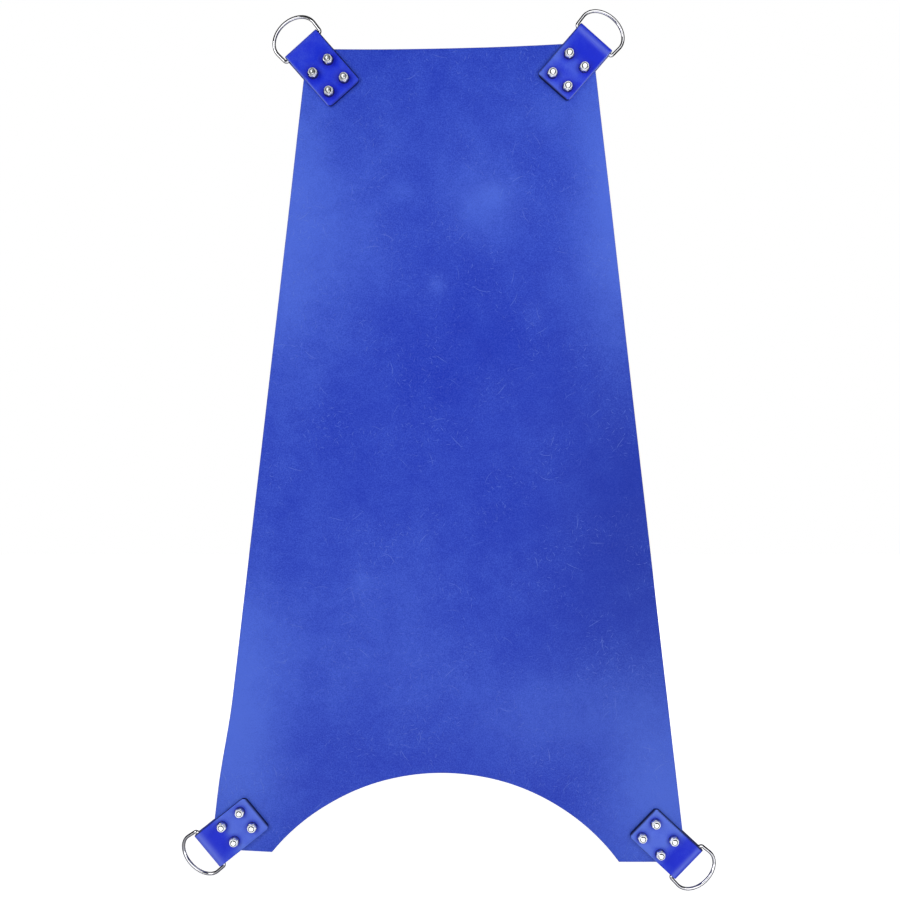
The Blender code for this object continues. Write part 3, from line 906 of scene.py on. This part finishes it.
def strip_marks(corner, a, b):
    """Painted sheen, pressed darkening and painted shade round the nuts, and painted highlights and
    shade on the fold and rims, over the strip.
    """
    from_bar = abs(a) - QUARTER
    # Pressed darkening and painted shade round the nearest nut
    near = min(math.hypot(-from_bar - screw.x, b - screw.z) for screw in corner.screws)
    past_nut = max(0.0, near - NUT_ACROSS_FLATS / 2)
    pressed = math.exp(-((past_nut / PRESS_SHADE_SPREAD[corner.name]) ** 2))

    # Painted highlight along the fold
    amount, middle, spread = FOLD_HIGHLIGHT[corner.name]
    rubbed = amount * math.exp(-(((abs(a) / QUARTER - middle) / spread) ** 2))

    # Painted highlight along one long front edge
    worn = 0.0
    if a < 0 and corner.name in RIM_HIGHLIGHT_SIDE:
        worn = RIM_HIGHLIGHT * smoothstep(STRAP_WIDTH / 2 - RIM_HIGHLIGHT_SIDE[corner.name] * b, *RIM_HIGHLIGHT_BAND)

    # Painted shade on the rims of the ends, and of one long side
    shaded = SHADED_END[corner.name] * smoothstep(HALF_STRIP - abs(a), *SHADED_END_BAND)
    if corner.name in SHADED_SIDE:
        side, darkness = SHADED_SIDE[corner.name]
        rim = smoothstep(STRAP_WIDTH / 2 - side * b, *SHADED_SIDE_BAND)
        shaded = max(shaded, darkness * rim)

    # Painted sheen along the strap, more beside its long edges
    sheen_along = np.interp(from_bar, *zip(*SHEEN_ALONG_STRAP[corner.name]))
    below, above, until = LIGHT_SIDES[corner.name]
    beside = (below if b < 0 else above) * smoothstep(abs(b), *LIGHT_SIDE_BAND)
    beside *= smoothstep(from_bar, *LIGHT_SIDE_START)
    beside *= smoothstep(from_bar, until, until - LIGHT_SIDE_FADE)
    return {
        "pull_up": sheen_along + beside,
        "pressed": pressed,
        "rubbed": rubbed,
        "worn": worn,
        "shaded": shaded,
    }


def build_strap(corner, finish):
    outline = strip_outline()
    outline = resample(outline, lambda point: row_spacing(point.x))
    holes = []
    for side in (FRONT, BACK):
        for screw in corner.screws:
            middle = Vector((side * (QUARTER - screw.x), screw.z))
            holes.append(circle(middle, HOLE_RADIUS, HOLE_SIDES))
    fill = fill_points(inset(outline, STRAP_RIM), holes, strip_rows(), STRAP_SPACING)
    mesh = sheet_mesh(
        f"strap_leather_{corner.name}",
        outline,
        holes,
        fill,
        STRAP_RIM,
        LEATHER_AT_FASTENER / 2,
        lambda a, b, level: strip_shape(corner, a, b, level),
        lambda a, b: strip_marks(corner, a, b),
    )
    node = f"strap_{corner.name}"
    name = f"folded_{node}"
    made = piece(name, mesh, finish, "strap_leather", node, "panel", corner.to_world)


# --- The D-rings --------------------------------------------------------------------------------

def ring_path():
    """The wire's centre line: the bar along Z at X = 0, two bends, two arms and the arch."""
    half = RING_INNER_WIDTH / 2 + WIRE_RADIUS
    bend = RING_BEND_RADIUS
    quarter = math.pi / 2
    rise = RING_REACH - WIRE_RADIUS - RING_ARM_LENGTH
    bend_steps, arch_steps = 10, 56
    lower = arc(Vector((bend, bend - half)), bend, 2 * quarter, 3 * quarter, bend_steps)
    arch = [
        Vector((RING_ARM_LENGTH + rise * up, (half + RING_ARM_LEAN) * sideways))
        for up, sideways in arc(Vector((0, 0)), 1.0, -quarter, quarter, arch_steps)
    ]
    upper = arc(Vector((bend, half - bend)), bend, quarter, 2 * quarter, bend_steps)
    return resample(lower + arch + upper, lambda _: RING_SPACING)


def build_ring(corner, finish, sides=20):
    """A closed wire with slight unevenness and a flash of weld in the middle of its bar."""
    points, rows = [], []
    seed = len(corner.name)
    for before, here, after in neighbours(ring_path()):
        ahead = (after - before).normalized()
        outward = Vector((ahead.y, 0, -ahead.x))
        place = Vector((here.x * UNEVEN_SCALE, here.y * UNEVEN_SCALE, seed))
        radius = WIRE_RADIUS + UNEVENNESS * noise.noise(place)
        if here.x < SAME_PLACE:
            radius += WELD_HEIGHT * math.exp(-((here.y / WELD_REACH) ** 2))
        rows.append(range(len(points), len(points) + sides))
        for step in range(sides):
            turn = 2 * math.pi * step / sides
            ray = outward * math.cos(turn) + DEPTH * math.sin(turn)
            points.append(Vector((here.x, 0, here.y)) + ray * radius)
    faces = [face for _, near, far in neighbours(rows) for face in wall(near, far)]
    mesh = closed_mesh(f"ring_{corner.name}", points, faces)
    to_world = corner.to_world @ Matrix.Rotation(corner.tilt, 4, "Z")
    node = f"d_ring_{corner.name}"
    piece(f"chromed_{node}", mesh, finish, "polished_chrome", node, corner.body, to_world)


# --- The fasteners, turned about Z with +Z towards the front --------------------------------------

def turned(name, profile, sides, closed):
    """Rings of points, one for each (height, radius); a radius may be a function of the turn.

    A closed profile joins its last ring to its first. An open one is capped at both.
    """
    points, rows = [], []
    for height, radius in profile:
        rows.append(range(len(points), len(points) + sides))
        for i in range(sides):
            turn = 2 * math.pi * i / sides
            reach = radius(turn) if callable(radius) else radius
            points.append((reach * math.cos(turn), reach * math.sin(turn), height))
    faces = [face for near, far in zip(rows, rows[1:]) for face in wall(near, far)]
    if closed:
        faces += wall(rows[-1], rows[0])
    else:
        faces += [rows[0], rows[-1]]
    return closed_mesh(name, points, faces)


def hexagon(across_flats, limit=math.inf):
    """A hexagon's radius at each turn, its corners taken back to the limit."""
    sixth = math.pi / 3

    def radius(turn):
        from_flat = (turn + sixth / 2) % sixth - sixth / 2
        return min(across_flats / 2 / math.cos(from_flat), limit)

    return radius


def nut_mesh():
    """Chamfered hexagon, round collar crimped over the locking ring, and the bore."""
    flat = NUT_ACROSS_FLATS / 2

    def chamfered(depth):
        """The hexagon at a depth below the nearer of its two faces, its corners taken back."""
        return hexagon(NUT_ACROSS_FLATS, flat + CHAMFER_SLOPE * depth)

    profile = [(0.0, hexagon(NUT_ACROSS_FLATS, flat * 0.985))]
    profile += [(height, chamfered(height)) for height in (0.0001, 0.00022, 0.00036, 0.0006)]
    profile.append((NUT_HEX_HEIGHT / 2, hexagon(NUT_ACROSS_FLATS)))
    for below in (0.0007, 0.00045, 0.0003, 0.00015, 0.0):
        profile.append((NUT_HEX_HEIGHT - below, chamfered(below)))
    profile += [
        (NUT_HEX_HEIGHT + 0.00005, COLLAR_RADIUS + 0.00015),
        (NUT_HEX_HEIGHT + 0.00020, COLLAR_RADIUS),
        (NUT_HEIGHT - 0.00050, COLLAR_RADIUS + 0.00010),
        (NUT_HEIGHT - 0.00018, COLLAR_RADIUS + 0.00009),
        (NUT_HEIGHT - 0.00007, COLLAR_RADIUS + 0.00005),
        (NUT_HEIGHT - 0.00002, COLLAR_RADIUS - 0.00001),
        (NUT_HEIGHT, COLLAR_RADIUS - 0.00008),
        (NUT_HEIGHT, NUT_LIP_RADIUS + 0.00010),
        (NUT_HEIGHT - 0.00010, NUT_LIP_RADIUS),
        (NUT_HEIGHT - 0.00040, NUT_LIP_RADIUS + 0.00005),
        (NUT_HEIGHT - 0.00050, INSERT_SEAT_RADIUS),
        (INSERT_SEAT_FLOOR, INSERT_SEAT_RADIUS),
        (INSERT_SEAT_FLOOR, SCREW_RADIUS + 0.00015),
        (0.00030, SCREW_RADIUS + 0.00015),
        (0.0, SCREW_RADIUS + 0.00045),
    ]
    mesh = turned("nut", profile, 48, closed=True)
    satin = mesh.attributes.new("satin", "FLOAT", "POINT")
    satin.data.foreach_set("value", [1.0] * len(mesh.vertices))
    return mesh


def insert_mesh():
    """The locking ring, its upper face swelled a little where the screw has cut through."""
    bore = SCREW_RADIUS + 0.00012
    profile = [
        (0.0, bore),
        (0.0, INSERT_RADIUS),
        (INSERT_HEIGHT - 0.00012, INSERT_RADIUS),
        (INSERT_HEIGHT, INSERT_RADIUS - 0.00025),
        (INSERT_HEIGHT + 0.00004, (INSERT_RADIUS + bore) / 2),
        (INSERT_HEIGHT - 0.00004, bore + 0.00015),
        (INSERT_HEIGHT - 0.00030, bore),
    ]
    return turned("insert", profile, 32, closed=True)


def thread(height, tip):
    """The radius of a real helical thread at one height, cut away by the chamfer at the tip."""
    limit = SCREW_RADIUS - TIP_SLOPE * max(0.0, height - tip + TIP_CHAMFER)

    def radius(turn):
        phase = (height / THREAD_PITCH - turn / (2 * math.pi)) % 1.0
        out_of_groove = min(1.0, 2.4 * abs(phase - 0.5))
        return min(SCREW_RADIUS - THREAD_DEPTH * (1 - out_of_groove), limit)

    return radius


def screw_mesh():
    """Domed socket head below Z = 0, shank, thread and a tip with a shallow centre."""
    tip = 2 * FACE_OF_FASTENER + NUT_HEIGHT + SCREW_STAND_OUT
    socket = hexagon(2 * SOCKET_RADIUS * math.cos(math.pi / 6))
    mouth = SOCKET_RADIUS + 0.00022
    face = HEAD_RADIUS * 0.56
    dome_base = -0.0005
    dome_height = HEAD_HEIGHT + dome_base
    profile = [
        (-HEAD_HEIGHT + SOCKET_DEPTH + 0.0004, 0.0004),
        (-HEAD_HEIGHT + SOCKET_DEPTH, socket),
        (-HEAD_HEIGHT + 0.0003, socket),
        (-HEAD_HEIGHT, mouth),
        (-HEAD_HEIGHT, face),
    ]
    dome_steps = 8
    for step in range(1, dome_steps):
        turn = step / dome_steps * math.pi / 2
        across = face + (HEAD_RADIUS - face) * math.sin(turn)
        profile.append((dome_base - dome_height * math.cos(turn), across))
    profile += [
        (dome_base, HEAD_RADIUS),
        (-0.00015, HEAD_RADIUS - 0.00008),
        (0.0, HEAD_RADIUS - 0.00030),
        (0.0, SCREW_RADIUS),
    ]
    for height in np.linspace(tip - THREAD_LENGTH, tip, THREAD_ROWS + 1):
        profile.append((height, thread(height, tip)))
    profile += [(tip, 0.0021), (tip - 0.00002, 0.0008), (tip - 0.00010, 0.0002)]
    return turned("screw", profile, 48, closed=False)


def build_fasteners(corner, zinc, nylon):
    """Screws from the back, nuts and their locking rings on the front, each turned its own way."""
    to_front = Matrix.Rotation(math.pi / 2, 4, "X")
    seat = FACE_OF_FASTENER + INSERT_SEAT_FLOOR + INSERT_LIFT
    kinds = (
        ("screw", "domed", screw_mesh, FACE_OF_FASTENER, zinc, "bright_zinc"),
        ("lock_nut", "zinc", nut_mesh, -FACE_OF_FASTENER, zinc, "bright_zinc"),
        ("nylon_ring", "milky", insert_mesh, -seat, nylon, "clear_nylon"),
    )
    for count, screw in enumerate(corner.screws, start=1):
        spin = Matrix.Rotation(SPIN_STEP * count, 4, "Z")
        for kind, word, make, depth, finish, slot in kinds:
            place = Matrix.Translation((screw.x, depth, screw.z))
            node = f"{kind}_{corner.name}_{count}"
            to_world = corner.to_world @ place @ to_front @ spin
            piece(f"{word}_{node}", make(), finish, slot, node, "panel", to_world)


# --- Stage --------------------------------------------------------------------------------------

CAMERA_PLACE = (0.0, -1.000, -0.454)
CAMERA_TILT = math.radians(2.29)    # down from level
LENS = 34.0
SENSOR_WIDTH = 36.0
FLOOR_DROP = 0.09                   # below the lowest ring
FLOOR_HALF = 3.0
ROOM_STRENGTH = 0.035


def build_camera():
    camera = bpy.data.cameras.new("camera")
    camera.lens = LENS
    camera.sensor_width = SENSOR_WIDTH
    made = bpy.data.objects.new("camera", camera)
    made.location = CAMERA_PLACE
    made.rotation_euler = (math.pi / 2 - CAMERA_TILT, 0, 0)
    bpy.context.scene.collection.objects.link(made)
    bpy.context.scene.camera = made


def soft_light(name, place, target, size, power, lit=True, mirrored=True):
    """A soft box, never seen itself. It may light surfaces, be mirrored in the metal, or both."""
    light = bpy.data.lights.new(name, "AREA")
    light.shape = "RECTANGLE"
    light.size, light.size_y = size
    light.energy = power
    made = bpy.data.objects.new(name, light)
    made.location = place
    made.rotation_euler = (Vector(target) - Vector(place)).to_track_quat("-Z", "Y").to_euler()
    made.visible_camera = False
    made.visible_diffuse = lit
    made.visible_glossy = mirrored
    bpy.context.scene.collection.objects.link(made)


def build_world():
    """White behind the object for the camera, a softer grey studio for light and reflections."""
    world = bpy.data.worlds.new("studio")
    world.use_nodes = True
    nodes, links = world.node_tree.nodes, world.node_tree.links
    seen, room = nodes["Background"], nodes.new("ShaderNodeBackground")
    seen.inputs["Color"].default_value = colour(1.0, 1.0, 1.0)
    seen.inputs["Strength"].default_value = 1.0
    room.inputs["Color"].default_value = colour(0.95, 0.97, 1.0)
    room.inputs["Strength"].default_value = ROOM_STRENGTH
    path, mixed = nodes.new("ShaderNodeLightPath"), nodes.new("ShaderNodeMixShader")
    links.new(path.outputs["Is Camera Ray"], mixed.inputs["Fac"])
    links.new(room.outputs[0], mixed.inputs[1])
    links.new(seen.outputs[0], mixed.inputs[2])
    links.new(mixed.outputs[0], nodes["World Output"].inputs["Surface"])
    bpy.context.scene.world = world


def build_floor():
    """A pale floor that glows white for the camera, so that it meets the white behind it."""
    low, _ = CAD_BOX
    mesh = bpy.data.meshes.new("floor")
    signs = ((-1, -1), (1, -1), (1, 1), (-1, 1))
    mesh.from_pydata([(x * FLOOR_HALF, y * FLOOR_HALF, 0.0) for x, y in signs], [], [(0, 1, 2, 3)])
    surface = Surface("pale_floor", Base_Color=colour(0.70, 0.70, 0.71), Roughness=0.9)
    away = surface.add("VectorMath", {0: surface.object_place()}, "Value", operation="LENGTH")
    seen = surface.add("LightPath", {}, "Is Camera Ray")
    glow = surface.mix(seen, colour(0.10, 0.10, 0.10), colour(1.0, 1.0, 1.0))
    surface.drive("Emission Color", glow)
    surface.drive("Emission Strength", surface.ramp(away, 0.25, 1.1, 0.70, 1.0))
    mesh.materials.append(surface.material)
    made = bpy.data.objects.new("floor", mesh)
    made.location.z = low[2] - FLOOR_DROP
    bpy.context.scene.collection.objects.link(made)
    made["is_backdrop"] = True


def build_lights():
    """Each soft box has a place, a target, a size and a power. The card is only mirrored."""
    middle = (0.0, 0.0, -0.5)
    soft_light("front", (0.60, -2.5, 0.15), (0.60, 0.0, 0.0), (2.1, 2.5), 24)
    soft_light("key", (-1.5, -1.3, 0.0), middle, (0.6, 1.6), 12)
    soft_light("fill", (1.6, -1.2, 0.0), middle, (0.6, 1.2), 9, mirrored=False)
    soft_light("behind", (0.6, 1.9, 0.5), middle, (3.0, 2.6), 34)
    soft_light("card", (0.0, -0.38, -1.10), (0.0, -0.38, 0.0), (1.0, 0.34), 1.5, lit=False)


bpy.context.scene.view_settings.view_transform = "Standard"
build_camera()
build_world()
build_floor()
build_lights()

build_panel(panel_leather())
strap_finish, chrome = strap_leather(), polished_chrome()
zinc, nylon = bright_zinc(), milky_nylon()
for corner in CORNERS:
    build_strap(corner, strap_finish)
    build_ring(corner, chrome)
    build_fasteners(corner, zinc, nylon)

visual_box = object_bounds()
boxes = {"cad": CAD_BOX, "visual": visual_box}
{name: [list(corner) for corner in box] for name, box in boxes.items()}
